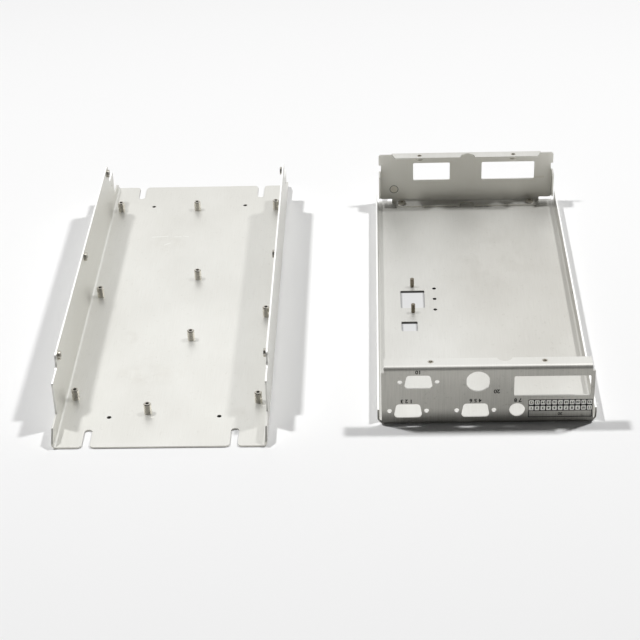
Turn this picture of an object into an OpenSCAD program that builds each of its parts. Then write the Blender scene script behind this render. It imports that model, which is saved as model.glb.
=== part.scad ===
// Sheet-metal enclosure of an amplifier, opened: the base tray lies on the left, and the cover
// lies beside it on its outer face, so its panels stand up. Millimetres, +Z up. The origin is the
// middle of the underside of the base tray, and -Y is the front with the connector cut-outs.

/* [Sheet] */
// Thickness of every sheet
sheet_t = 1.2; // [1:0.1:1.5]
// Inside radius of every fold
fold_r = 1.8; // [1:0.1:2.2]

/* [Base tray] */
// Width over the outsides of the two walls
base_w = 145.2; // [136:0.2:160]
// Length of the base plate past each end of the closed cover
end_margin = 27; // [22:0.5:36]
// Height of the low lips beside the front slots
front_lip_h = 12; // [7:0.5:16]
// Height of the low lips beside the rear slots
rear_lip_h = 8; // [6:0.5:12]
// Length of the sloping cut at the end of each lip
lip_cut = 7; // [3:0.5:10]
// Height at which the sloping cut of a lip ends
lip_end_h = 4; // [3.5:0.5:5]
// Height of the wall shoulders at the front
front_shoulder_h = 36.5; // [28:0.5:38]
// Height of the wall shoulders at the rear
rear_shoulder_h = 29.5; // [26:0.5:38]
// Distance that the wall shoulders reach past the closed cover's panels
shoulder_reach = 3; // [1:0.5:6]
// Length of wall at full height past the outermost side screws
wall_past_screw = 7; // [5:0.5:9]
// Radius on the upper corners of the full-height wall and in the step below them
wall_corner_r = 4; // [2:0.5:4.5]
// Radius on the upper corner of each shoulder
shoulder_corner_r = 1.5; // [0.5:0.5:3]

/* [Mounting slots] */
// Width of each open-ended slot
slot_w = 5.6; // [4.5:0.1:6.5]
// Depth of each slot, from the edge of the plate to its round end
slot_depth = 20; // [14:0.5:21]
// Distance between the two slots at one end
slot_spacing = 100; // [90:1:108]
// Radius on the corners of each slot's mouth
slot_mouth_r = 3; // [1:0.5:5]

/* [Cover] */
// Length of the cover, over the outsides of its front and rear panels
cover_l = 314; // [305:1:325]
// Height of the cover as it lies
cover_h = 46.6; // [43:0.2:50]
// Height of the cover's side flanges as it lies
side_flange_h = 10; // [8.5:0.5:11.5]
// Distance of the side flanges behind the front panel's face
side_flange_start = 4; // [3.5:0.5:6]
// Distance of the side flanges from the cover's rear edge
side_flange_stop = 2; // [1:0.5:4]
// Depth of the folded edges that close against the base plate, from the panel's outer face
edge_flange_d = 11; // [10:0.5:13]
// Height of the shoulders below the folded edges, where the panels get their full width
edge_shoulder_h = 4; // [3.2:0.2:5]
// Distance from the middle of the base tray to the middle of the cover lying beside it
cover_offset = 220.5; // [205:0.5:260]
// Distance that the cover lies further forward than the base tray
cover_ahead = 4; // [-20:0.5:20]

/* [Clearances] */
// Gap between each side flange and the wall that it closes over
flange_gap = 0.2; // [0.1:0.05:0.5]
// Gap between each panel's side edge and the wall beside it
panel_gap = 0.2; // [0.1:0.05:0.6]
// Gap between the tops of the walls and the closed cover
lid_gap = 0.4; // [0.2:0.1:1]
// Gap round the front standoff where the front folded edge is notched for it
notch_gap = 2.6; // [1.5:0.1:3]

/* [Screw places] */
// Distance of the edge screws from each panel's outer face
edge_screw_in = 7; // [6.5:0.5:7.5]
// Distance of the edge screws from the middle line
edge_screw_x = 38; // [30:1:44]
// Distance of the outer side screws from each panel's outer face
side_screw_in = 24; // [22:0.5:36]
// Height of the side screws in the cover's side flanges as the cover lies
side_screw_up = 6; // [5:0.1:6.5]
// Diameter of plain holes for the closing screws
clear_d = 3.2; // [3:0.1:3.6]
// Distance of the foot screws of the rear panel from its middle line
foot_screw_x = 52.5; // [48:0.5:56]

/* [Fasteners] */
// Diameter of the clinch nuts' bodies
nut_d = 6.2; // [5.6:0.1:6.8]
// Height of the clinch nuts' bodies
nut_h = 1.9; // [1.4:0.1:2.6]
// Diameter of the clinch nuts' shanks, pressed into the sheet
nut_shank_d = 4.2; // [3.8:0.1:4.6]
// Diameter of the threaded bores, at the crests of the thread
tap_d = 2.5; // [2.2:0.1:2.9]
// Diameter of the cover's studs
stud_d = 3; // [2.6:0.1:3.4]
// Length of the cover's studs above the plate
stud_l = 7; // [5:0.5:9]
// Diameter of the flush heads of the cover's studs
stud_head_d = 4.6; // [4.2:0.1:5.4]
// Thickness of the flush heads of all studs
stud_head_t = 0.7; // [0.5:0.1:0.8]
// Length of the plain neck between a stud's sheet and its thread
stud_neck_l = 0.6; // [0.4:0.1:1]
// Difference between the diameters of a stud's thread and its neck
stud_neck_cut = 0.4; // [0.2:0.1:0.6]
// Diameter of the ground stud
ground_d = 4; // [3:0.5:5]
// Length of the ground stud behind the rear panel
ground_l = 9; // [6:0.5:14]
// Diameter of the ground stud's flush head
ground_head_d = 7.2; // [6.4:0.2:8]
// Distance of the ground stud from the middle line
ground_x = 58.8; // [56:0.2:60]
// Height of the ground stud as the cover lies
ground_up = 13; // [10:0.5:13]
// Diameter of the countersunk screw heads
screw_head_d = 5.4; // [5:0.1:5.8]
// Width of the cross recess in the screw heads
recess_w = 0.5; // [0.4:0.1:0.7]

/* [Standoffs] */
// Diameter of the standoffs
standoff_d = 5.2; // [4.6:0.1:5.8]
// Height of the standoffs above the base plate
standoff_h = 8; // [6:0.5:10]
// Width across the flats of the heads under the plate
standoff_head_w = 6.4; // [6:0.1:7]
// Thickness of the heads under the plate
standoff_head_t = 0.7; // [0.5:0.1:0.8]
// Chamfer round the top of each standoff
standoff_chamfer = 0.5; // [0.2:0.1:0.8]
// Distance of the outer standoffs from the outsides of the walls
standoff_edge = 8.5; // [7.5:0.5:10]
// Distance of the rear row of standoffs from the rear panel's outer face
rear_row_in = 13.5; // [12:0.5:16]
// Distance of the foremost standoff from the front panel's outer face
front_row_in = 12; // [10.5:0.5:15]
// Distance of the left front standoff from the front panel's outer face
left_front_in = 30; // [26:1:60]
// Distance of the right front standoff from the front panel's outer face
right_front_in = 24; // [20:1:60]
// Distance of the left middle standoff behind the middle
left_middle_y = 9; // [-20:1:40]
// Distance of the right middle standoff in front of the middle
right_middle_y = 22; // [-10:1:50]
// Distance of the foremost standoff from the middle line
centre_front_x = 11.6; // [6:0.2:20]
// Distance of the second centre standoff from the middle line
centre_second_x = 10.4; // [4:0.2:16]
// Distance of the second centre standoff in front of the middle
centre_second_y = 53; // [40:1:70]
// Distance of the third centre standoff from the middle line
centre_third_x = 8.4; // [2:0.2:14]
// Distance of the third centre standoff behind the middle
centre_third_y = 33; // [20:1:50]
// Distance of the rear centre standoff from the middle line
centre_rear_x = 1; // [0:0.2:6]

/* [Connector cut-outs] */
// Distance between the two screw holes of a connector
connector_pitch = 25; // [23:0.5:26]
// Diameter of the connectors' screw holes
connector_screw_d = 3.3; // [3:0.1:3.6]
// Width of a connector opening at its wide side
connector_w = 19.6; // [18:0.2:20]
// Height of a connector opening
connector_h = 10.8; // [9:0.2:12]
// Slope of the sides of a connector opening in degrees
connector_slope = 10; // [4:1:14]
// Corner radius of a connector opening
connector_r = 2.4; // [1:0.2:3]
// Height of the lower row of openings
lower_row_up = 11.6; // [10:0.2:13]
// Height of the upper row of openings
upper_row_up = 34.8; // [32:0.2:35]
// Distance of the left connector of the upper row from the middle line
upper_connector_x = 46.3; // [44:0.2:50]
// Distance of the left connector of the lower row from the middle line
lower_left_x = 53.3; // [50:0.2:55]
// Distance of the middle connector of the lower row from the middle line
lower_middle_x = 8; // [4:0.2:12]

/* [Other front openings] */
// Diameter of the round opening with two flats
flatted_d = 16.2; // [14:0.2:17]
// Width across the two flats
flatted_w = 15.4; // [13:0.2:16]
// Distance of the flatted opening from the middle line
flatted_x = 6.5; // [4:0.5:10]
// Diameter of the small key notch in the flatted opening's rim
key_d = 2.4; // [1.6:0.2:3]
// Angle of the key notch below the horizontal
key_angle = 35; // [20:5:70]
// Diameter of the plain round opening
round_d = 10.5; // [8:0.5:12]
// Distance of the plain round opening from the middle line
round_x = 20; // [18:0.5:22]
// Width of the terminal window
window_w = 51; // [44:0.5:52]
// Height of the terminal window
window_h = 16; // [12:0.5:17]
// Height of the middle of the terminal window
window_up = 30.8; // [29:0.2:31]
// Margin between the terminal window and the front panel's edge
window_margin = 2.6; // [2:0.2:6]
// Corner radius of all windows
window_r = 1; // [0.4:0.2:2]

/* [Rear windows] */
// Width of the left window as the cover lies
left_window_w = 30; // [24:0.5:34]
// Width of the right window as the cover lies
right_window_w = 43; // [36:0.5:45]
// Height of both rear windows
rear_window_h = 15.8; // [12:0.2:17]
// Height of the middle of both rear windows
rear_window_up = 29; // [27:0.5:30]
// Distance of the left window's middle from the middle line
left_window_x = 28; // [26:0.5:32]
// Distance of the right window's middle from the middle line
right_window_x = 34.5; // [32:0.5:38]

/* [Rear panel edges] */
// Width of the rear panel's folded edges where they leave the panel
rear_fold_w = 121; // [116:0.5:122]
// Slant of each end of the rear panel's folded edges, over their depth
rear_fold_slant = 3; // [0:0.5:5]
// Height of the rear panel's upper corners as the cover lies
ear_up = 44.6; // [43.8:0.1:45]
// Radius of the notch in the middle of the rear panel's folded edges
rear_notch_r = 5.9; // [4.5:0.1:6.2]
// Distance of that notch's centre from the rear panel's outer face
rear_notch_in = 10.2; // [9.6:0.2:11.4]
// Radius of the rear panel's upper corners
ear_r = 2; // [1:0.2:2.6]
// Height of the rear panel's lower corners
lower_corner_up = 4; // [3:0.2:5]
// Radius of the rear panel's lower corners
lower_corner_r = 3; // [1:0.5:4]
// Height at which the side tabs begin
tab_low = 9.5; // [8:0.5:12]
// Height of the side tabs
tab_h = 20; // [14:0.5:22]
// Distance of the tab holes below the tops of the tabs
tab_hole_in = 3.5; // [3:0.5:5]
// Diameter of the tab holes and the wall holes in line with them
tab_hole_d = 2.8; // [2.4:0.2:3.2]
// Inside radius of the tabs' sharper folds
tab_fold_r = 0.6; // [0.3:0.1:1]
// Height of the relief cuts above the tabs
tab_relief_h = 5.6; // [2:0.2:7]

/* [Cover plate openings] */
// Width of the larger opening
hatch_w = 18.2; // [14:0.2:22]
// Length of the larger opening
hatch_l = 24.6; // [18:0.2:28]
// Distance of the larger opening from the middle line
hatch_x = 46.8; // [44:0.2:50]
// Distance of the larger opening behind the cover's middle
hatch_y = 2.4; // [-10:0.2:10]
// Distance between the two studs
stud_spacing = 36.5; // [34:0.5:40]
// Width of the smaller opening
small_hatch_w = 12; // [9:0.5:14]
// Length of the smaller opening
small_hatch_l = 13; // [9:0.5:14]
// Distance of the smaller opening from the middle line
small_hatch_x = 49.8; // [47:0.2:54]
// Distance of the smaller opening in front of the larger one's middle
small_hatch_step = 37.8; // [34:0.2:44]
// Distance of the row of small holes from the middle line
pin_hole_x = 30.2; // [28:0.2:32]
// Distance between neighbouring small holes
pin_hole_pitch = 15; // [10:0.5:18]
// Diameter of the small holes
pin_hole_d = 3; // [2:0.2:4]

/* [Hidden] */
$fn = 64;
round_steps = 6;

// Fits between the two halves when they are closed
outer_r = fold_r + sheet_t;
closed_h = cover_h + sheet_t;
wall_h = closed_h - sheet_t - lid_gap;
cover_w = base_w + 2 * (flange_gap + sheet_t);
panel_w = base_w - 2 * (sheet_t + panel_gap);
panel_y = cover_l / 2;
base_l = cover_l + 2 * end_margin;
side_screw_pitch = panel_y - side_screw_in;
shoulder_y = panel_y + shoulder_reach;
full_wall_y = side_screw_pitch + wall_past_screw;
side_nut_up = closed_h - side_screw_up;
edge_hole_y = panel_y - edge_screw_in;
tab_hole_up = tab_low + tab_h - tab_hole_in;
wall_hole_up = closed_h - tab_hole_up;
edge_flange_w = panel_w - 2 * outer_r + 2 * sheet_t;
nut_y = [-side_screw_pitch, 0, side_screw_pitch];
tab_outer_r = tab_fold_r + sheet_t;
stud_y = [hatch_y - stud_spacing / 2, hatch_y + stud_spacing / 2];
through = 4 * sheet_t;

// Standoffs under the circuit board: the outer ones stand in columns beside the walls
outer_x = base_w / 2 - standoff_edge;
standoffs = [
    ["standoff_left_front", [-outer_x, -(panel_y - left_front_in)]],
    ["standoff_left_middle", [-outer_x, left_middle_y]],
    ["standoff_left_rear", [-outer_x, panel_y - rear_row_in]],
    ["standoff_centre_front", [-centre_front_x, -(panel_y - front_row_in)]],
    ["standoff_centre_second", [centre_second_x, -centre_second_y]],
    ["standoff_centre_third", [centre_third_x, centre_third_y]],
    ["standoff_centre_rear", [-centre_rear_x, panel_y - rear_row_in]],
    ["standoff_right_front", [outer_x, -(panel_y - right_front_in)]],
    ["standoff_right_middle", [outer_x, -right_middle_y]],
    ["standoff_right_rear", [outer_x, panel_y - rear_row_in]]
];
front_notch_r = standoff_d / 2 + notch_gap;

// Carries a section drawn in width and height along the length
module along_y(length) {
    rotate([90, 0, 0]) linear_extrude(height = length, center = true) children();
}

// Carries an outline drawn in length and height across the width
module across_x(width) {
    rotate([90, 0, 90]) linear_extrude(height = width, center = true) children();
}

// Places a hole or a fastener drawn upwards so that it points along +Y
module pointing_back() {
    rotate([-90, 0, 0]) children();
}

// Moves a piece of the cover to where the cover lies
module on_cover() {
    translate([cover_offset, -cover_ahead, 0]) children();
}

// Repeats a shape at the same distance on both sides of the middle line
module both_sides(distance) {
    for (side = [-1, 1]) translate([side * distance, 0, 0]) children();
}

// Square corner less its round: added in a step it is a fillet, taken off a corner it rounds it
module corner_piece(radius) {
    difference() {
        square(radius);
        translate([radius, radius]) circle(radius);
    }
}

// Rectangle with round corners, about its middle
module soft_rectangle(width, height, radius) {
    difference() {
        square([width, height], center = true);
        for (a = [0, 1], b = [0, 1]) mirror([a, 0]) mirror([0, b])
            translate([-width / 2, -height / 2]) corner_piece(radius);
    }
}

// Section of one square fold: legs along +X and +Y from an outer corner at the origin
module fold_section(flat_leg, upright_leg, inside_r = fold_r) {
    outside_r = inside_r + sheet_t;
    translate([outside_r, 0]) square([flat_leg - outside_r, sheet_t]);
    translate([0, outside_r]) square([sheet_t, upright_leg - outside_r]);
    intersection() {
        translate([outside_r, outside_r]) difference() {
            circle(outside_r);
            circle(inside_r);
        }
        square(outside_r);
    }
}

// Section of a sheet folded up at both sides
module channel_section(width, height) {
    translate([-width / 2, 0]) fold_section(width / 2, height);
    mirror([1, 0]) translate([-width / 2, 0]) fold_section(width / 2, height);
}

// Side view of the base tray: lips at the ends, then shoulders, then the wall at full height
module wall_outline() {
    difference() {
        union() {
            polygon([
                [-base_l / 2, 0], [base_l / 2, 0],
                [base_l / 2, lip_end_h], [base_l / 2 - lip_cut, rear_lip_h],
                [shoulder_y, rear_lip_h], [shoulder_y, rear_shoulder_h],
                [full_wall_y, rear_shoulder_h], [full_wall_y, wall_h],
                [-full_wall_y, wall_h], [-full_wall_y, front_shoulder_h],
                [-shoulder_y, front_shoulder_h], [-shoulder_y, front_lip_h],
                [-base_l / 2 + lip_cut, front_lip_h], [-base_l / 2, lip_end_h]
            ]);
            translate([full_wall_y, rear_shoulder_h]) corner_piece(wall_corner_r);
            translate([-full_wall_y, front_shoulder_h]) mirror([1, 0]) corner_piece(wall_corner_r);
        }
        for (side = [0, 1]) mirror([side, 0])
            translate([full_wall_y, wall_h]) rotate(180) corner_piece(wall_corner_r);
        translate([shoulder_y, rear_shoulder_h]) rotate(180) corner_piece(shoulder_corner_r);
        translate([-shoulder_y, front_shoulder_h]) rotate(-90) corner_piece(shoulder_corner_r);
    }
}

// One slot, open at the front edge of the plate, with a round end and rounded mouth corners
module open_slot() {
    translate([0, slot_depth - slot_w / 2]) circle(slot_w / 2);
    translate([-slot_w / 2, -sheet_t]) square([slot_w, slot_depth - slot_w / 2 + sheet_t]);
    translate([slot_w / 2, 0]) corner_piece(slot_mouth_r);
    translate([-slot_w / 2, 0]) rotate(90) corner_piece(slot_mouth_r);
}

// Base tray: one sheet folded up at both sides
module base_tray() {
    color("gainsboro") difference() {
        intersection() {
            along_y(base_l) channel_section(base_w, wall_h);
            across_x(base_w) wall_outline();
        }
        for (end = [0, 1]) mirror([0, end, 0]) translate([0, -base_l / 2, -sheet_t])
            both_sides(slot_spacing / 2) linear_extrude(height = through) open_slot();
        for (end = [-1, 1]) translate([0, end * edge_hole_y, -sheet_t])
            both_sides(edge_screw_x) cylinder(d = clear_d, h = through);
        for (place = standoffs) translate(place[1]) {
            translate([0, 0, -sheet_t]) cylinder(d = standoff_d, h = through);
            standoff_head();
        }
        for (y = nut_y) translate([0, y, side_nut_up]) rotate([0, 90, 0])
            cylinder(d = nut_shank_d, h = 2 * base_w, center = true);
        translate([0, edge_hole_y, wall_hole_up]) rotate([0, 90, 0])
            cylinder(d = tab_hole_d, h = 2 * base_w, center = true);
    }
}

// Points of a corner's round, from one angle to another
function round_points(centre, radius, from, to) = [
    for (i = [0:round_steps]) let (a = from + (to - from) * i / round_steps)
        centre + radius * [cos(a), sin(a)]
];

// Opening for a nine-way connector, wide side down, with its two screw holes
module connector_opening() {
    r = connector_r;
    s = connector_slope;
    lean = connector_h * tan(s);
    // Centres of the corner rounds, which touch both of their sides
    wide_x = connector_w / 2 - r * tan((90 + s) / 2);
    narrow_x = connector_w / 2 - lean - r * tan((90 - s) / 2);
    centre_up = connector_h / 2 - r;
    polygon(concat(
        round_points([wide_x, -centre_up], r, -90, s),
        round_points([narrow_x, centre_up], r, s, 90),
        round_points([-narrow_x, centre_up], r, 90, 180 - s),
        round_points([-wide_x, -centre_up], r, 180 - s, 270)
    ));
    for (side = [-1, 1]) translate([side * connector_pitch / 2, 0]) circle(d = connector_screw_d);
}

// Round opening with a flat at each side and a small key notch in its rim
module flatted_opening() {
    intersection() {
        circle(d = flatted_d);
        square([flatted_w, flatted_d], center = true);
    }
    rotate(-key_angle) translate([flatted_d / 2 - key_d / 4, 0]) circle(d = key_d);
}

// Every cut-out of the front panel, seen from the front as the cover lies
module front_openings() {
    translate([-upper_connector_x, upper_row_up]) connector_opening();
    translate([-lower_left_x, lower_row_up]) connector_opening();
    translate([-lower_middle_x, lower_row_up]) connector_opening();
    translate([-flatted_x, upper_row_up]) flatted_opening();
    translate([round_x, lower_row_up]) circle(d = round_d);
    translate([panel_w / 2 - window_margin - window_w / 2, window_up])
        soft_rectangle(window_w, window_h, window_r);
}

// Section of a panel: the upright sheet with a folded edge at its foot and at its head
module panel_section(foot, foot_leg) {
    half = (cover_h - foot) / 2;
    translate([0, foot]) fold_section(foot_leg, half);
    translate([0, cover_h]) mirror([0, 1]) fold_section(edge_flange_d, half);
}

// Space above the front panel's shoulders, where the folded edge is narrower than the panel
module upper_corners() {
    both_sides((edge_flange_w + cover_w) / 2)
        translate([0, 0, cover_h - edge_shoulder_h / 2 + sheet_t])
            cube([cover_w, 3 * edge_flange_d, edge_shoulder_h + 2 * sheet_t], center = true);
}

// Cover: one sheet with the plate, two low side flanges and the front panel
module cover_sheet() {
    flange_len = cover_l - side_flange_start - side_flange_stop;
    plate_len = cover_l - outer_r;
    color("whitesmoke") on_cover() difference() {
        union() {
            translate([0, (side_flange_start - side_flange_stop) / 2, 0])
                along_y(flange_len) channel_section(cover_w, side_flange_h);
            translate([-panel_w / 2, -panel_y + outer_r, 0]) cube([panel_w, plate_len, sheet_t]);
            difference() {
                translate([0, -panel_y, 0]) across_x(panel_w) panel_section(0, 2 * outer_r);
                translate([0, -panel_y, 0]) upper_corners();
            }
        }
        translate([0, -panel_y - sheet_t, 0]) mirror([0, 1, 0]) rotate([90, 0, 0])
            linear_extrude(height = through) front_openings();
        edge_flange_holes(-1);
        translate([centre_front_x, -(panel_y - front_row_in), cover_h - 2 * sheet_t])
            cylinder(r = front_notch_r, h = through);
        for (y = nut_y) translate([0, y, side_screw_up]) rotate([0, 90, 0])
            cylinder(d = clear_d, h = 2 * cover_w, center = true);
        plate_openings();
        translate([0, edge_hole_y, 0]) both_sides(foot_screw_x) screw_space();
        for (y = stud_y) translate([-hatch_x, y, 0]) stud_root(stud_d, stud_head_d, through);
    }
}

// Openings of the cover plate
module plate_openings() {
    translate([-hatch_x, hatch_y, -sheet_t]) linear_extrude(height = through)
        soft_rectangle(hatch_w, hatch_l, window_r);
    translate([-small_hatch_x, hatch_y - small_hatch_step, -sheet_t]) linear_extrude(height = through)
        soft_rectangle(small_hatch_w, small_hatch_l, window_r);
    for (step = [-1, 0, 1]) translate([-pin_hole_x, hatch_y + step * pin_hole_pitch, -sheet_t])
        cylinder(d = pin_hole_d, h = through);
}

// Holes for the nuts in the folded edge at the head of a panel; end is -1 in front and 1 behind
module edge_flange_holes(end) {
    translate([0, end * edge_hole_y, cover_h - 2 * sheet_t])
        both_sides(edge_screw_x) cylinder(d = nut_shank_d, h = through);
}

// Plan of the rear panel's folded edges: narrower towards their free edges, with a notch in the
// middle for the standoff behind them
module rear_fold_plan() {
    root_x = rear_fold_w / 2;
    free_x = root_x - rear_fold_slant;
    difference() {
        polygon([
            [-root_x, panel_y], [-root_x, panel_y - outer_r], [-free_x, panel_y - edge_flange_d],
            [free_x, panel_y - edge_flange_d], [root_x, panel_y - outer_r], [root_x, panel_y]
        ]);
        translate([centre_rear_x, panel_y - rear_notch_in]) circle(rear_notch_r);
    }
}

// Outline of the rear panel's flat sheet, with the room of the folds and the relief cuts left out
module rear_sheet_outline() {
    fold_up = sheet_t + outer_r;
    difference() {
        translate([-panel_w / 2, lower_corner_up]) square([panel_w, ear_up - lower_corner_up]);
        for (side = [0, 1]) mirror([side, 0]) {
            translate([panel_w / 2, ear_up]) rotate(180) corner_piece(ear_r);
            translate([panel_w / 2, lower_corner_up]) rotate(90) corner_piece(lower_corner_r);
            translate([panel_w / 2 - tab_outer_r, tab_low]) square([panel_w, tab_h + tab_relief_h]);
        }
        translate([-rear_fold_w / 2, 0]) square([rear_fold_w, fold_up]);
        translate([-rear_fold_w / 2, cover_h - outer_r]) square([rear_fold_w, outer_r]);
    }
}

// Rear panel: a separate sheet with folded edges at head and foot and a tab at each side
module rear_panel() {
    color("silver") on_cover() difference() {
        union() {
            intersection() {
                translate([0, panel_y, 0]) mirror([0, 1, 0])
                    across_x(rear_fold_w) panel_section(sheet_t, edge_flange_d);
                linear_extrude(height = closed_h) rear_fold_plan();
            }
            translate([0, panel_y, 0]) rotate([90, 0, 0])
                linear_extrude(height = sheet_t) rear_sheet_outline();
            for (side = [0, 1]) mirror([side, 0, 0])
                translate([-panel_w / 2, panel_y, tab_low]) mirror([0, 1, 0]) linear_extrude(height = tab_h)
                    fold_section(tab_outer_r + sheet_t, edge_flange_d, tab_fold_r);
        }
        translate([0, panel_y + sheet_t, 0]) rotate([90, 0, 0])
            linear_extrude(height = through) rear_windows();
        edge_flange_holes(1);
        translate([0, edge_hole_y, 0]) both_sides(foot_screw_x)
            cylinder(d = nut_shank_d, h = through);
        translate([0, edge_hole_y, tab_hole_up]) rotate([0, 90, 0])
            cylinder(d = tab_hole_d, h = 2 * panel_w, center = true);
        translate([-ground_x, panel_y - sheet_t, ground_up]) pointing_back()
            stud_root(ground_d, ground_head_d, through);
    }
}

// The two windows of the rear panel
module rear_windows() {
    translate([-left_window_x, rear_window_up]) soft_rectangle(left_window_w, rear_window_h, window_r);
    translate([right_window_x, rear_window_up]) soft_rectangle(right_window_w, rear_window_h, window_r);
}

// Six-sided head of a standoff, flush with the underside of the plate
module standoff_head() {
    cylinder(d = standoff_head_w / cos(30), h = standoff_head_t, $fn = 6);
}

// Threaded standoff, clinched into the base plate
module standoff() {
    top = sheet_t + standoff_h;
    color("lightgray") difference() {
        union() {
            standoff_head();
            cylinder(d = standoff_d, h = top - standoff_chamfer);
            translate([0, 0, top - standoff_chamfer])
                cylinder(d1 = standoff_d, d2 = standoff_d - 2 * standoff_chamfer, h = standoff_chamfer);
        }
        translate([0, 0, -sheet_t]) cylinder(d = tap_d, h = top + through);
    }
}

// Clinch nut with its body above the sheet and its shank flush with the sheet's far face
module clinch_nut() {
    color("silver") difference() {
        union() {
            cylinder(d = nut_d, h = nut_h);
            translate([0, 0, -sheet_t]) cylinder(d = nut_shank_d, h = sheet_t);
        }
        translate([0, 0, -2 * sheet_t]) cylinder(d = tap_d, h = nut_h + through);
    }
}

// Nut on the inner face of a wall; side is -1 at the left and 1 at the right
module wall_nut(side, y) {
    translate([side * (base_w / 2 - sheet_t), y, side_nut_up])
        rotate([0, -side * 90, 0]) clinch_nut();
}

// Nut under the folded edge at the head of a panel
module edge_nut(side, end) {
    on_cover() translate([side * edge_screw_x, end * edge_hole_y, cover_h - sheet_t])
        mirror([0, 0, 1]) clinch_nut();
}

// Nut on the folded edge at the foot of the rear panel
module foot_nut(side) {
    on_cover() translate([side * foot_screw_x, edge_hole_y, 2 * sheet_t]) clinch_nut();
}

// Countersunk hole in the cover plate
module screw_space() {
    cylinder(d1 = screw_head_d, d2 = clear_d, h = sheet_t);
}

// Countersunk screw that holds the rear panel's foot, pushed up from the cover's outer face
module foot_screw(side) {
    length = 2 * sheet_t + nut_h;
    color("silver") on_cover() translate([side * foot_screw_x, edge_hole_y, 0]) difference() {
        union() {
            screw_space();
            cylinder(d = tap_d, h = length);
        }
        for (turn = [0, 90]) rotate(turn)
            cube([screw_head_d / 2, recess_w, sheet_t], center = true);
    }
}

// Head and neck of a stud, and their space in its sheet: the head lies flush in a shallow seat
module stud_root(thread_d, head_d, length) {
    cylinder(d = head_d, h = stud_head_t);
    cylinder(d = thread_d - stud_neck_cut, h = length);
}

// Stud pressed into a sheet with its head flush, and a plain neck before its thread
module pressed_stud(thread_d, head_d, length) {
    neck_end = sheet_t + stud_neck_l;
    color("silver") {
        stud_root(thread_d, head_d, neck_end);
        translate([0, 0, neck_end]) cylinder(d = thread_d, h = length - stud_neck_l);
    }
}

// Stud beside the larger opening of the cover plate
module cover_stud(y) {
    on_cover() translate([-hatch_x, y, 0]) pressed_stud(stud_d, stud_head_d, stud_l);
}

// Ground stud: its head is flush with the rear panel's inner face
module ground_stud() {
    on_cover() translate([-ground_x, panel_y - sheet_t, ground_up]) pointing_back()
        pressed_stud(ground_d, ground_head_d, ground_l);
}

base_tray();
cover_sheet();
rear_panel();
for (place = standoffs) translate(place[1]) standoff();
wall_nut(-1, nut_y[0]);  // left_wall_nut_front
wall_nut(-1, nut_y[1]);  // left_wall_nut_middle
wall_nut(-1, nut_y[2]);  // left_wall_nut_rear
wall_nut(1, nut_y[0]);  // right_wall_nut_front
wall_nut(1, nut_y[1]);  // right_wall_nut_middle
wall_nut(1, nut_y[2]);  // right_wall_nut_rear
edge_nut(-1, -1);  // front_edge_nut_left
edge_nut(1, -1);  // front_edge_nut_right
edge_nut(-1, 1);  // rear_edge_nut_left
edge_nut(1, 1);  // rear_edge_nut_right
foot_nut(-1);  // foot_nut_left
foot_nut(1);  // foot_nut_right
foot_screw(-1);  // foot_screw_left
foot_screw(1);  // foot_screw_right
cover_stud(stud_y[0]);  // cover_stud_front
cover_stud(stud_y[1]);  // cover_stud_rear
ground_stud();
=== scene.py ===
# %% [markdown]
# # An opened sheet-metal enclosure
# Two folded sheets lie side by side: a base tray, and its cover with the connector panels.
# The shapes come from the packed model, so this lesson is about light, metal and print.
# Lengths are metres, +Z is up, and -Y is the front with the connector openings.

# %% Load the packed model
import math

import bpy
import numpy as np
from mathutils import Matrix, Vector


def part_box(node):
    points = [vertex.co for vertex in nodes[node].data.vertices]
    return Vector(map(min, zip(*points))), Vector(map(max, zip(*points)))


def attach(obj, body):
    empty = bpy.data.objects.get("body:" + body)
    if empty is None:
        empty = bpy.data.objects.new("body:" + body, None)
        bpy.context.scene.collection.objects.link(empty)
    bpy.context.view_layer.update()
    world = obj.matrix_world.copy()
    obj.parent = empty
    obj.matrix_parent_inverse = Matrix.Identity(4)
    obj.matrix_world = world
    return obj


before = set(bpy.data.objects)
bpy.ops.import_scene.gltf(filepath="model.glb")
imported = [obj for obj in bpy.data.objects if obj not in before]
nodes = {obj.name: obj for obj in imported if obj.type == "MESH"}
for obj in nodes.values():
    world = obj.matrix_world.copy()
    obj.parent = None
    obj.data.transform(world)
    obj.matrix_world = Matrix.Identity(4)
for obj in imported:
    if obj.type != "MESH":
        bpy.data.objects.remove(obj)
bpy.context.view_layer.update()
MM = 0.001
print("pieces in the packed model:", len(nodes))


def node_box(name):
    """Lowest and highest corner of a piece of the packed model, as two arrays."""
    low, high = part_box(name)
    return np.array(low), np.array(high)


# %% [markdown]
# ## Camera
# The photograph looks down on the two halves from the front with a long lens. A camera is set
# by where it stands and which way it looks, so its three axes are written as the columns of a
# matrix: to the right, up, and backwards. The small roll is a camera that wasn't held level.

# %% Camera
VIEW_PITCH = math.radians(32.48)
VIEW_YAW = math.radians(-2.45)
VIEW_ROLL = math.radians(-2.10)
VIEW_PLACE = Vector((0.1510, -1.1195, 0.6960))
FOCAL_IN_PICTURE_WIDTHS = 2.720
SENSOR_WIDTH = 36.0


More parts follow.
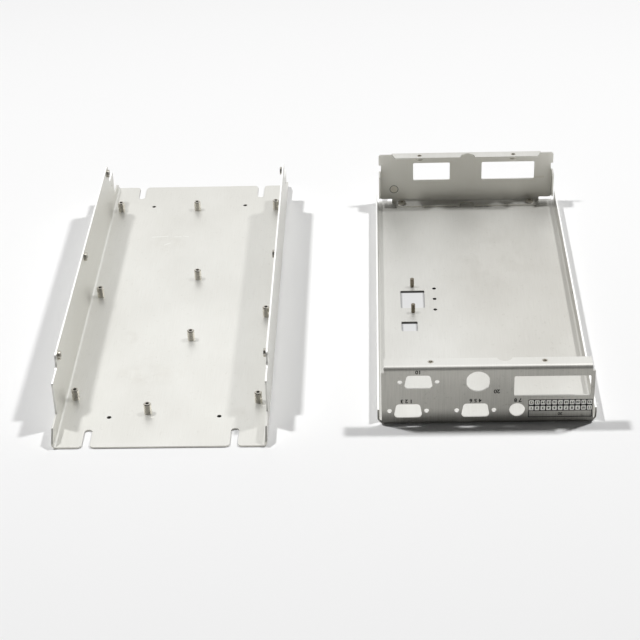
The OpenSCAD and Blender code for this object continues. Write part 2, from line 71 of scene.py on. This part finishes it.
def make_camera():
    """Camera at the photograph's place, with its axes built from pitch, yaw and roll."""
    sight = Vector((math.sin(VIEW_YAW) * math.cos(VIEW_PITCH),
                    math.cos(VIEW_YAW) * math.cos(VIEW_PITCH),
                    -math.sin(VIEW_PITCH)))
    level = Vector((math.cos(VIEW_YAW), -math.sin(VIEW_YAW), 0.0))
    up = level.cross(sight)
    right = math.cos(VIEW_ROLL) * level + math.sin(VIEW_ROLL) * up
    top = math.cos(VIEW_ROLL) * up - math.sin(VIEW_ROLL) * level
    data = bpy.data.cameras.new("view_camera")
    data.sensor_width = SENSOR_WIDTH
    data.lens = FOCAL_IN_PICTURE_WIDTHS * SENSOR_WIDTH
    camera = bpy.data.objects.new("view_camera", data)
    axes = Matrix((right, top, -sight)).transposed().to_4x4()
    camera.matrix_world = Matrix.Translation(VIEW_PLACE) @ axes
    bpy.context.scene.collection.objects.link(camera)
    bpy.context.scene.camera = camera
    return camera


camera = make_camera()
print("lens in mm:", round(camera.data.lens, 1))

# %% [markdown]
# ## A helper for shader maths
# A material is a graph of nodes. Written by hand, each multiplication takes four lines, so one
# small class wraps a socket and lets plain Python signs add the Math nodes. It has only the signs
# that this file uses. Plus and minus are there twice, so that 1 - mask works too.


# %% A socket that is used like a number
class Wire:
    """One output socket of a node graph, used like a number."""

    def __init__(self, graph, socket):
        self.graph = graph
        self.socket = socket

    def _maths(self, operation, *others):
        sockets = dict(enumerate(others))
        return self.graph.node("ShaderNodeMath", {"operation": operation}, sockets)

    def __add__(self, other):
        return self._maths("ADD", self, other)

    __radd__ = __add__

    def __sub__(self, other):
        return self._maths("SUBTRACT", self, other)

    def __rsub__(self, other):
        return self._maths("SUBTRACT", other, self)

    def __mul__(self, other):
        return self._maths("MULTIPLY", self, other)

    def __truediv__(self, other):
        return self._maths("DIVIDE", self, other)

    def __abs__(self):
        return self._maths("ABSOLUTE", self)

    def root(self):
        return self._maths("SQRT", self)

    def at_least(self, other):
        return self._maths("MAXIMUM", self, other)

    def at_most(self, other):
        return self._maths("MINIMUM", self, other)

    def rise(self, low, high):
        """0 below low, 1 above high, with a smooth rise between them."""
        return self.graph.node("ShaderNodeMapRange", {"interpolation_type": "SMOOTHSTEP"},
                               {"Value": self, "From Min": low, "From Max": high})


print("methods of a wire:", sum(callable(part) for part in vars(Wire).values()))

# %% [markdown]
# ## Adding the other nodes
# Every other node comes from one method. It takes the node's type, its settings, which are set
# first because they can change which sockets exist, and what goes into its sockets.


# %% Graphs
class Graph:
    """The node graph of a material or of the world, and the way to add nodes to it."""

    def __init__(self, tree):
        self.tree = tree

    def _feed(self, socket, value):
        if isinstance(value, Wire):
            self.tree.links.new(value.socket, socket)
        else:
            socket.default_value = value

    def node(self, kind, settings=None, sockets=None, output=0):
        """Adds a node: settings first, then the values or links of its sockets."""
        made = self.tree.nodes.new(kind)
        for name, value in (settings or {}).items():
            setattr(made, name, value)
        for name, value in (sockets or {}).items():
            self._feed(made.inputs[name], value)
        return None if output is None else Wire(self, made.outputs[output])

    def axes(self, vector):
        """The x, y and z of a vector."""
        return [self.node("ShaderNodeSeparateXYZ", None, {0: vector}, axis) for axis in "XYZ"]


print("ways to add nodes:", [name for name in vars(Graph) if not name.startswith("_")])

# %% [markdown]
# ## Finishes
# A finish is such a graph round a Principled shader, with short names for what patterns read: the
# point's place, the surface's direction and smooth noise. Colours are given as a picture shows
# them, because they were compared with the photograph's.


# %% Finishes
class Finish(Graph):
    """A material with a Principled shader."""

    def __init__(self, name, **constants):
        self.material = bpy.data.materials.new(name)
        self.material.use_nodes = True
        super().__init__(self.material.node_tree)
        self.shader = self.tree.nodes["Principled BSDF"]
        self.set(**constants)

    def set(self, **values):
        """Sets or links the shader's own sockets; spaces in their names are written as _."""
        for name, value in values.items():
            self._feed(self.shader.inputs[name.replace("_", " ")], value)

    def place(self):
        """The point's own x, y and z in metres."""
        return self.axes(self.node("ShaderNodeTexCoord", output="Object"))

    def facing(self):
        """The surface's direction as three numbers."""
        return self.axes(self.node("ShaderNodeTexCoord", output="Normal"))

    def noise(self, x, y, z, detail=3.0, roughness=0.6):
        """Smooth noise, about 1 unit from lump to lump."""
        point = self.node("ShaderNodeCombineXYZ", None, {"X": x, "Y": y, "Z": z})
        return self.node("ShaderNodeTexNoise", None, {
            "Vector": point, "Scale": 1.0, "Detail": detail, "Roughness": roughness})

    def blend(self, factor, first, second):
        """Colour between first and second."""
        made = self.tree.nodes.new("ShaderNodeMix")
        made.data_type = "RGBA"
        made.clamp_factor = True
        for name, value in (("Factor_Float", factor), ("A_Color", first), ("B_Color", second)):
            socket = next(s for s in made.inputs if s.identifier == name)
            self._feed(socket, value)
        mixed = next(s for s in made.outputs if s.identifier == "Result_Color")
        return Wire(self, mixed)

    def bump(self, height, depth, strength):
        """Normal from a height between 0 and 1, where 1 stands depth metres proud."""
        return self.node("ShaderNodeBump", None, {
            "Strength": strength, "Distance": depth, "Height": height})


def colour(red, green, blue):
    """Colour with full alpha, from three numbers as a picture shows them, 0 to 255."""
    def linear(value):
        """Light of one number: the curve that pictures are stored with, undone."""
        value = value / 255
        return value / 12.92 if value <= 0.04045 else ((value + 0.055) / 1.055) ** 2.4
    return (linear(red), linear(green), linear(blue), 1.0)


print("middle grey as the shader reads it:", round(colour(128, 128, 128)[0], 3))

# %% [markdown]
# ## Rolling lines
# The two halves are bare sheet with a satin face. Rolling leaves fine lines along the sheet's
# length, and the folded walls carry them on. Noise that is squeezed across the sheet gives such
# lines. A side wall has the same x all over, so a second noise, squeezed along the height, takes
# over where the surface faces sideways.

# %% Rolling lines
GRAIN_ACROSS = 2600.0
GRAIN_ALONG = 45.0
BUMP_DEPTH = 0.02 * MM


def rolled_grain(finish, sideways, x, y, z):
    """Fine lines along the sheet: noise squeezed across it, and along the height on the walls."""
    side = abs(sideways).rise(0.5, 0.8)
    flat = finish.noise(x * GRAIN_ACROSS, y * GRAIN_ALONG, z * GRAIN_ALONG, detail=4.0)
    wall = finish.noise(x * GRAIN_ALONG, y * GRAIN_ALONG, z * GRAIN_ACROSS, detail=4.0)
    return flat * (1 - side) + wall * side


print("lines per mm across the sheet:", round(GRAIN_ACROSS * MM, 1))

# %% [markdown]
# ## Marks of handling, and painted shade
# Bare sheet shows where it was touched: short scratches, and soft patches with an uneven middle.
# A scratch is the distance from a line segment, and a patch is the distance from a point, measured
# in its own two sizes. Each mark has an amount. Above zero it darkens the sheet, and below zero
# it brightens it, as a fresh scratch does. A few large smooth patches are painted shade instead.


# %% Marks
def distance(off_a, off_b):
    """Square root of the sum of the squares of two steps."""
    return (off_a * off_a + off_b * off_b).root()


def scratch(x, y, start, end, width):
    """1 on a straight line from start to end, 0 away from it; the distance from a segment."""
    run = np.subtract(end, start)
    length = float(np.hypot(*run))
    way_x, way_y = (float(part / length) for part in run)
    along = (x - start[0]) * way_x + (y - start[1]) * way_y
    along = along.at_least(0.0).at_most(length)
    off = distance(x - start[0] - along * way_x, y - start[1] - along * way_y)
    return 1 - off.rise(width * 0.3, width)


def cloud(x, y, centre, size):
    """1 in the middle of a soft oval patch, 0 outside it; the distance in units of its sizes."""
    off = distance((x - centre[0]) / size[0], (y - centre[1]) / size[1])
    return 1 - off.rise(0.2, 1.0)


def tray_marks(finish, x, y, z):
    """Bright scratches and matte patches on the base plate, and painted shade over its rear part.
    """
    uneven = finish.noise(x * 90, y * 60, 0.0).rise(0.35, 0.7)
    return [
        (scratch(x, y, (-0.034, 0.099), (-0.022, 0.100), 0.0008), -0.9),
        (scratch(x, y, (-0.023, 0.086), (-0.019, 0.089), 0.0008), -0.8),
        (scratch(x, y, (-0.016, 0.099), (-0.011, 0.099), 0.0007), -0.8),
        (scratch(x, y, (-0.009, 0.100), (-0.005, 0.099), 0.0007), -0.7),
        (cloud(x, y, (-0.020, 0.090), (0.022, 0.026)) * uneven, 0.35),
        (cloud(x, y, (-0.036, -0.052), (0.010, 0.016)) * uneven, 0.5),
        (cloud(x, y, (-0.016, -0.098), (0.040, 0.020)) * uneven, 0.4),
        (cloud(x, y, (0.052, -0.150), (0.010, 0.014)) * uneven, 0.5),
        # Painted shade: the rear part of the base plate darker
        (cloud(x, y, (0.000, 0.160), (0.110, 0.110)), 0.28),
    ]


def cover_marks(finish, x, y, z):
    """A soft patch on the cover's plate, painted shade to its right, and across the front panel.
    """
    uneven = finish.noise(x * 70, y * 40, 3.0).rise(0.4, 0.7)
    return [
        (cloud(x, y, (0.235, 0.060), (0.050, 0.080)) * uneven, 0.3),
        # Painted shade: the cover's plate darker towards its right
        (cloud(x, y, (0.262, 0.000), (0.100, 0.200)), 0.85),
        # Painted shade across the middle of the front panel
        (cloud(x, z, (0.212, 0.022), (0.075, 0.021)), 0.25),
    ]


def rear_marks(finish, x, y, z):
    """One short dark scratch near the rear panel's right end, and faint stains all over it."""
    uneven = finish.noise(x * 60, 0.0, z * 60).rise(0.35, 0.75)
    return [
        (scratch(x, z, (0.2775, 0.0222), (0.2840, 0.0226), 0.0012), 1.6),
        (uneven, 0.30),
    ]


print("kinds of marks:", [f.__name__ for f in (tray_marks, cover_marks, rear_marks)])

# %% [markdown]
# ## The sheet's finish
# The finish mixes two tones by the grain, soft clouds and the wear, and some marks are painted
# shade. Faces towards the front get two tones of their own, because the photograph shows them
# much greyer: painted shade on the cover's front panel, painted light on the rear panel's inner
# face. Painted shade darkens them towards their foot. The upper edges of walls and flanges get a
# painted highlight, found by their direction, upwards, and by their height above the floor. The
# rear panel gets no painted edge highlight, so its range of heights lies above everything.

# %% Sheet finish
SHEET_METALLIC = 0.75
# Painted highlight on upward-facing upper edges, and the heights where walls and flanges get it
EDGE_HIGHLIGHT = colour(252, 252, 250)
WALL_HIGHLIGHT_HEIGHTS, FLANGE_HIGHLIGHT_HEIGHTS, NO_HIGHLIGHT_HEIGHTS = (20 * MM, 60 * MM), (8 * MM, 12 * MM), (60 * MM, 70 * MM)
# The foot of front-facing faces gets painted shade that fades out over these heights
FOOT_SHADE_HEIGHTS = (3 * MM, 14 * MM)
# The tone is 0 at the darker colour and 1 at the paler one, and these are its parts.
TONE_MIDDLE, TONE_GRAIN, TONE_CLOUDS, TONE_WEAR_AND_SHADE = 0.6, 0.5, 0.6, 0.55
# These are the parts of the roughness.
ROUGH_MIDDLE, ROUGH_GRAIN, ROUGH_CLOUDS, ROUGH_WEAR_AND_SHADE = 0.46, 0.12, 0.10, 0.12


def sheet_finish(name, tones, painted_front_tones, highlight_heights, marks):
    """Satin sheet: two tones, two painted ones for the front, and painted upper edge highlights.

    The wear and shade is a quarter of the small specks, plus each mark times its amount; some
    marks are painted shade. The tone is its middle, plus the parts of grain and clouds above or
    below their own middle, less the wear and shade's.
    """
    finish = Finish(name, Metallic=SHEET_METALLIC, IOR=1.5)
    x, y, z = finish.place()
    sideways, backwards, upwards = finish.facing()
    grain = rolled_grain(finish, sideways, x, y, z)
    clouds = finish.noise(x * 14, y * 9, z * 14, roughness=0.55)
    specks = finish.noise(x * 420, y * 300, z * 420, detail=2.0, roughness=0.5).rise(0.62, 0.76)
    # Real wear from specks and marks, plus the marks that are painted shade
    wear_and_shade = specks * 0.25
    for mask, amount in marks(finish, x, y, z):
        wear_and_shade = wear_and_shade + mask * amount
    tone = ((grain - 0.5) * TONE_GRAIN + (clouds - 0.5) * TONE_CLOUDS
            + TONE_MIDDLE - wear_and_shade * TONE_WEAR_AND_SHADE)
    # Front-facing faces get painted tones: shade on the cover's front panel, light on the rear
    # panel
    front = (0 - backwards).rise(0.3, 0.9)
    painted_foot_shade = 1 - z.rise(*FOOT_SHADE_HEIGHTS)
    # Painted shade darkens front-facing faces towards their foot
    painted_front_sheet = finish.blend(tone * 0.9 - painted_foot_shade * 0.5, *painted_front_tones)
    sheet = finish.blend(front, finish.blend(tone, *tones), painted_front_sheet)
    low, high = highlight_heights
    # Painted highlight on upward-facing edges within a range of heights
    edge_highlight = upwards.rise(0.8, 0.95) * z.rise(low, low + MM) * (1 - z.rise(high, high + MM))
    rough = (ROUGH_MIDDLE + (grain - 0.5) * ROUGH_GRAIN + (clouds - 0.5) * ROUGH_CLOUDS
             + wear_and_shade * ROUGH_WEAR_AND_SHADE)
    finish.set(Base_Color=finish.blend(edge_highlight, sheet, EDGE_HIGHLIGHT), Roughness=rough,
               Normal=finish.bump(grain + clouds * 0.4, BUMP_DEPTH, 0.35))
    return finish.material


# The front panel's tones are painted shade, and the rear panel's front tones are painted light
PLATE_TONES = (colour(202, 200, 193), colour(231, 231, 227))
COVER_TONES = (colour(191, 189, 183), colour(224, 224, 220))
FRONT_PANEL_SHADE_TONES = (colour(116, 115, 110), colour(222, 220, 212))
REAR_PANEL_LIGHT_TONES = (colour(244, 242, 233), colour(255, 254, 248))
sheets = {
    "base_tray": sheet_finish(
        "satin_tray", PLATE_TONES, PLATE_TONES, WALL_HIGHLIGHT_HEIGHTS, tray_marks),
    "cover_sheet": sheet_finish(
        "satin_cover", COVER_TONES, FRONT_PANEL_SHADE_TONES, FLANGE_HIGHLIGHT_HEIGHTS, cover_marks),
    "rear_panel": sheet_finish(
        "satin_rear", COVER_TONES, REAR_PANEL_LIGHT_TONES, NO_HIGHLIGHT_HEIGHTS, rear_marks),
}
print("sheet finishes:", sorted(sheets))

# %% [markdown]
# ## Nuts, standoffs, studs and screws
# The small turned parts are plated, so they are brighter and smoother than the sheet. Their
# turning marks are rings round each one's own axis, but one noise along the height reads
# the same from every side and needs no axis.


# %% Plated hardware
def plated_finish(name, tone, roughness):
    """Bright plating that dull spots and faint turning lines make darker and rougher."""
    finish = Finish(name, Metallic=1.0)
    x, y, z = finish.place()
    rings = finish.noise(x * 120, y * 120, z * 2400)
    dull = finish.noise(x * 300, y * 300, z * 300, roughness=0.5).rise(0.45, 0.75)
    darker = tuple(0.62 * c for c in tone[:3]) + (1.0,)
    finish.set(Base_Color=finish.blend(dull * 0.7 + rings * 0.3, tone, darker),
               Roughness=roughness + dull * 0.15 + (rings - 0.5) * 0.06,
               Normal=finish.bump(rings, BUMP_DEPTH, 0.4))
    return finish.material


bright_nickel = plated_finish("bright_nickel", colour(214, 210, 200), 0.20)
dull_nickel = plated_finish("dull_nickel", colour(196, 192, 182), 0.28)
zinc = plated_finish("zinc", colour(132, 124, 110), 0.30)
print("plated finishes:", bright_nickel.name, dull_nickel.name, zinc.name)

# %% [markdown]
# ## The ground stud's head
# The stud is pressed into the rear panel from inside. Its head is flush with the panel and has
# nearly the same colour, so only a dark round line shows where it is. The line is the distance
# from the stud's axis, and the stud's own box gives the axis and the rim.


# %% Stud head
def stud_head_finish(name):
    """Finish of a flush head: like the panel round it, with a dark line at its rim."""
    low, high = node_box(name)
    middle_x, middle_z = (float((low[axis] + high[axis]) / 2) for axis in (0, 2))
    rim = float(high[0] - low[0]) / 2
    finish = Finish("stud_head", Metallic=SHEET_METALLIC)
    x, y, z = finish.place()
    grain = finish.noise(x * 500, y * 500, z * 500)
    face = finish.blend(grain, colour(248, 243, 231), colour(228, 223, 211))
    line = distance(x - middle_x, z - middle_z).rise(rim - 0.7 * MM, rim - 0.2 * MM)
    finish.set(Base_Color=finish.blend(line, face, colour(90, 88, 82)),
               Roughness=0.40 + (grain - 0.5) * 0.2, Normal=finish.bump(grain, BUMP_DEPTH, 0.3))
    return finish.material


stud_head = stud_head_finish("ground_stud")


def finish_for(name):
    """The finish that a piece of the packed model gets, from its name."""
    if name in sheets:
        return sheets[name]
    if name.startswith("standoff"):
        return bright_nickel
    if "nut" in name:
        return dull_nickel
    return stud_head if name == "ground_stud" else zinc


for name, piece in nodes.items():
    piece.data.materials.clear()
    piece.data.materials.append(finish_for(name))
print("finished pieces:", len(nodes))

# %% [markdown]
# ## Print on the front panel
# A chart of two rows of cells and five short labels are printed upside down beside the openings,
# because the cover lies on its back. Print is a very thin layer, so each colour is a flat mesh a
# few hundredths of a millimetre in front of the panel. Every shape is worked out as an array of
# points: how far across from the cover's middle, and how far up.

# %% Flat shapes
# Where the front panel's outer face stands along Y, and the cover's middle along X
PANEL_FRONT = -0.161
COVER_MIDDLE = 0.2205


def print_layer(name, points, faces, finish, proud):
    """Flat mesh on the front panel from points (across from the cover's middle, up)."""
    across, up = np.asarray(points, float).T
    front = np.full(len(up), PANEL_FRONT - proud)
    mesh = bpy.data.meshes.new(name)
    mesh.from_pydata(np.column_stack([COVER_MIDDLE + across, front, up]).tolist(), [], faces)
    mesh.materials.append(finish)
    layer = bpy.data.objects.new(name, mesh)
    bpy.context.scene.collection.objects.link(layer)
    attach(layer, "root")
    print(name, "has", len(faces), "faces")
    return layer


def rings_to_faces(count, size):
    """One face for each of count rings of size points that follow each other."""
    return np.arange(count * size).reshape(count, size).tolist()


def bars(boxes):
    """Corner points and faces of upright rectangles given as left, right, low, high."""
    left, right, low, high = np.array(boxes).T
    corners = np.stack([left, low, right, low, right, high, left, high], axis=1)
    return corners.reshape(-1, 2), rings_to_faces(len(boxes), 4)


def cells(middles, width, height, corner):
    """Rectangles with round corners: a circle whose quarters are pushed apart, at each middle."""
    turn = np.radians(np.arange(0, 360, 22.5) + 11.25)
    reach_x = (width / 2 - corner) * np.sign(np.cos(turn)) + corner * np.cos(turn)
    reach_z = (height / 2 - corner) * np.sign(np.sin(turn)) + corner * np.sin(turn)
    ring = np.column_stack([reach_x, reach_z])
    points = (np.asarray(middles)[:, None, :] + ring[None]).reshape(-1, 2)
    return points, rings_to_faces(len(middles), len(turn))


print("points round one cell:", len(cells([(0.0, 0.0)], 3.2, 3.6, 0.6)[0]))

# %% [markdown]
# ## Numbers as flat meshes
# Blender's text object gives the outline of each number. It is made a mesh before its place is
# applied, its height is scaled to the wanted one, and a minus sign turns it upside down. A small
# offset of the outline makes the strokes as bold as printed ones.

# %% Numbers
STROKE_OFFSET = 0.035


def flat_text(text):
    """Points and faces of a text, one unit high and with its middle at zero."""
    curve = bpy.data.curves.new("label", "FONT")
    curve.body = text
    curve.resolution_u = 3
    curve.offset = STROKE_OFFSET
    carrier = bpy.data.objects.new("label", curve)
    bpy.context.scene.collection.objects.link(carrier)
    shape = bpy.data.meshes.new_from_object(carrier)
    places = np.empty(3 * len(shape.vertices))
    shape.vertices.foreach_get("co", places)
    flat = places.reshape(-1, 3)[:, :2]
    faces = [list(polygon.vertices) for polygon in shape.polygons]
    bpy.data.objects.remove(carrier)
    bpy.data.meshes.remove(shape)
    bpy.data.curves.remove(curve)
    return (flat - (flat.max(0) + flat.min(0)) / 2) / np.ptp(flat[:, 1]), faces


def numerals(labels):
    """Upside-down numbers from (text, middle across, middle up, height): middle less shape."""
    points, faces, first = [], [], 0
    for text, across, up, height in labels:
        flat, outlines = flat_text(text)
        points.append(np.array([across, up]) - flat * height)
        faces += [(np.array(outline) + first).tolist() for outline in outlines]
        first += len(flat)
    return np.vstack(points), faces


print("one number has", len(flat_text("8")[0]), "points")

# %% [markdown]
# ## Ink
# Ink on metal is never quite even: where it lies thin, the metal shines through a little. The
# layers lie one on another, the dark chart first, then its pale cells, then their numbers.


# %% Ink and layers
def ink(name, tone, thin_tone):
    """Printed ink that goes halfway to a second tone, and is rougher, where it lies thin."""
    finish = Finish(name, Specular_IOR_Level=0.2)
    x, y, z = finish.place()
    thin = finish.noise(x * 900, y * 900, z * 900).rise(0.5, 0.8)
    finish.set(Base_Color=finish.blend(thin * 0.5, tone, thin_tone), Roughness=0.6 + thin * 0.2)
    return finish.material


dark_ink = ink("dark_ink", colour(24, 24, 23), colour(66, 65, 62))
pale_ink = ink("pale_ink", colour(252, 251, 244), colour(214, 212, 203))

# The chart's sides are measured from the cover's middle, and its heights from the floor.
CHART_LEFT, CHART_RIGHT = 0.0275, 0.0703
CHART_LOW, CHART_MIDDLE, CHART_HIGH = 0.0052, 0.0103, 0.0197
LINE = 0.6 * MM
CELL_COLUMNS = 11
CELL_PITCH = (CHART_RIGHT - CHART_LEFT) / CELL_COLUMNS
CELL_ROWS_UP = (0.0127, 0.0173)
CELL_WIDTH, CELL_HEIGHT, CELL_CORNER = 3.2 * MM, 3.6 * MM, 0.6 * MM
FIRST_LAYER, SECOND_LAYER, THIRD_LAYER = 0.02 * MM, 0.03 * MM, 0.04 * MM
CELL_NUMBER_HEIGHT = 0.0019
# Text, middle across, middle up and height
CHART_NUMBER = ("30", (CHART_LEFT + CHART_RIGHT) / 2, 0.0079, 0.0024)
OPENING_NUMBERS = [
    ("10", -0.0468, 0.0428, 0.0031), ("1 2 3", -0.0546, 0.0194, 0.0031),
    ("4 5 6", -0.0080, 0.0194, 0.0031), ("20", 0.0061, 0.0267, 0.0032),
    ("7 8", 0.0203, 0.0194, 0.0031)]

columns = CHART_LEFT + CELL_PITCH * (np.arange(CELL_COLUMNS) + 0.5)
middles = [(x, z) for z in CELL_ROWS_UP for x in columns]
cell_numbers = [(str(k), x, z, CELL_NUMBER_HEIGHT) for k, (x, z) in enumerate(middles, 1)]
print_layer("chart_frame", *bars([
    (CHART_LEFT, CHART_RIGHT, CHART_MIDDLE, CHART_HIGH),
    (CHART_LEFT, CHART_LEFT + LINE, CHART_LOW, CHART_MIDDLE),
    (CHART_RIGHT - LINE, CHART_RIGHT, CHART_LOW, CHART_MIDDLE),
    (CHART_LEFT, CHART_RIGHT, CHART_LOW, CHART_LOW + LINE)]), dark_ink, FIRST_LAYER)
print_layer("chart_cells", *cells(middles, CELL_WIDTH, CELL_HEIGHT, CELL_CORNER),
            pale_ink, SECOND_LAYER)
print_layer("chart_numerals", *numerals(cell_numbers + [CHART_NUMBER]), dark_ink, THIRD_LAYER)
print_layer("opening_numerals", *numerals(OPENING_NUMBERS), dark_ink, FIRST_LAYER)

# %% [markdown]
# ## Floor
# The enclosure lies on white paper that runs out of sight. Little light gets under the small
# round holes, which look nearly black, and the floor seen through the two square openings has
# dark edges. Both are shades of the paper at those places, from the distance to each hole or edge.

# %% Floor
PAPER_WHITE = (0.86, 0.86, 0.86, 1.0)
PAPER_SHADE = (0.01, 0.01, 0.01, 1.0)
FLOOR_REACH, FLOOR_DROP = 6.0, 0.2 * MM
# Middles of the small round holes: four in the base plate, and three in the cover's plate
DEEP_HOLES = ([(sx * 0.038, sy * 0.150) for sx in (-1, 1) for sy in (-1, 1)]
              + [(0.1903, step * 0.015 - 0.0016) for step in (-1, 0, 1)])
HOLE_EDGES = (2 * MM, 4 * MM)
# Middle across, middle along, width and length of the cover plate's two square openings
HATCHES = [(0.1737, -0.0016, 0.0182, 0.0246), (0.1707, -0.0394, 0.0120, 0.0130)]
INSIDE_SHADE, SIDE_SHADE, REAR_SHADE = 0.23, 0.45, 0.92


def under_hatch(x, y, hatch):
    """Shade of the floor below an opening: the largest of an inside, a side and a rear shade."""
    middle_x, middle_y, width, length = hatch
    half_width, half_length = width / 2, length / 2
    across, along = abs(x - middle_x), y - middle_y
    near = 1 - across.rise(half_width, half_width + MM)
    near = near * (1 - abs(along).rise(half_length, half_length + MM))
    side = across.rise(half_width - 1.9 * MM, half_width - 1.3 * MM) * SIDE_SHADE
    rear = along.rise(half_length - 1.4 * MM, half_length - 0.8 * MM) * REAR_SHADE
    return near * side.at_least(rear).at_least(INSIDE_SHADE)


def paper():
    """White paper, darker by the sum of the shades under the small holes and the hatches."""
    finish = Finish("white_floor", Roughness=0.9)
    x, y, z = finish.place()
    dark = 0.0
    for hole_x, hole_y in DEEP_HOLES:
        dark = dark + (1 - distance(x - hole_x, y - hole_y).rise(*HOLE_EDGES))
    for hatch in HATCHES:
        dark = dark + under_hatch(x, y, hatch)
    finish.set(Base_Color=finish.blend(dark, PAPER_WHITE, PAPER_SHADE))
    return finish.material


def make_floor(reach, drop):
    """Flat square of paper, reach metres from its middle to each side, drop below zero."""
    corners = [(sx * reach, sy * reach, -drop) for sx, sy in ((-1, -1), (1, -1), (1, 1), (-1, 1))]
    mesh = bpy.data.meshes.new("floor")
    mesh.from_pydata(corners, [], [(0, 1, 2, 3)])
    mesh.materials.append(paper())
    floor = bpy.data.objects.new("floor", mesh)
    bpy.context.scene.collection.objects.link(floor)
    return floor


make_floor(FLOOR_REACH, FLOOR_DROP)
print("dark places on the floor:", len(DEEP_HOLES), "holes and", len(HATCHES), "hatches")

# %% [markdown]
# ## Lamps
# In the photograph each upright edge has two shadows, one to each side, and all of them lean a
# little to the front. The corner of a shadow and the corner that throws it lie on a line to the
# lamp. So one lamp stands to the left and one to the right, both a little behind. They are far
# away and small, because the shadows are sharp and their edges run parallel.

# %% Lamps
MIDDLE = Vector((0.147, 0.0, 0.0))
LAMP_DISTANCE = 2.4
LAMP_SIZE = 0.17


def make_lamp(name, lean, power):
    """Square lamp that throws shadows with the given lean, in metres across per metre down."""
    data = bpy.data.lights.new(name, "AREA")
    data.size = LAMP_SIZE
    data.energy = power
    lamp = bpy.data.objects.new(name, data)
    way = Vector((lean[0], lean[1], 1.0)).normalized()
    turn = way.to_track_quat("Z", "Y").to_matrix().to_4x4()
    lamp.matrix_world = Matrix.Translation(MIDDLE + way * LAMP_DISTANCE) @ turn
    bpy.context.scene.collection.objects.link(lamp)
    print(name, "stands at", [round(v, 2) for v in lamp.matrix_world.translation])
    return lamp


make_lamp("left_lamp", (-0.505, 0.12), 34.5)
make_lamp("right_lamp", (0.575, 0.20), 33.0)

# %% [markdown]
# ## The room
# Where the camera looks past the floor it sees white. The metal mirrors that white only from
# behind the enclosure, because the faces towards the camera are grey in the photograph. The light
# that the room itself adds is weak, so that the two lamps draw the shadows.

# %% World
BACK_LEVEL = 0.06
FRONT_LEVEL = 0.08
BACK_EDGES = (-0.05, 0.6)


def make_world():
    """White for the camera and for mirrored rays that go to the back, and dim for all others."""
    world = bpy.data.worlds.new("room")
    bpy.context.scene.world = world
    world.use_nodes = True
    room = Graph(world.node_tree)
    room.tree.nodes.clear()
    back = room.axes(room.node("ShaderNodeTexCoord", output="Generated"))[1].rise(*BACK_EDGES)
    seen, glossy, through = (room.node("ShaderNodeLightPath", output=f"Is {kind} Ray")
                             for kind in ("Camera", "Glossy", "Transmission"))
    shown = seen.at_least((glossy + through) * back)
    dim = room.node("ShaderNodeBackground", None, {
        "Strength": back * (BACK_LEVEL - FRONT_LEVEL) + FRONT_LEVEL, "Color": (1, 1, 1, 1)})
    white = room.node("ShaderNodeBackground", None, {"Strength": 1.0, "Color": (1, 1, 1, 1)})
    mixed = room.node("ShaderNodeMixShader", None, {0: shown, 1: dim, 2: white})
    room.node("ShaderNodeOutputWorld", None, {"Surface": mixed}, None)
    return len(room.tree.nodes)


print("nodes in the world:", make_world())
bpy.context.scene.view_settings.view_transform = "Standard"

# %% [markdown]
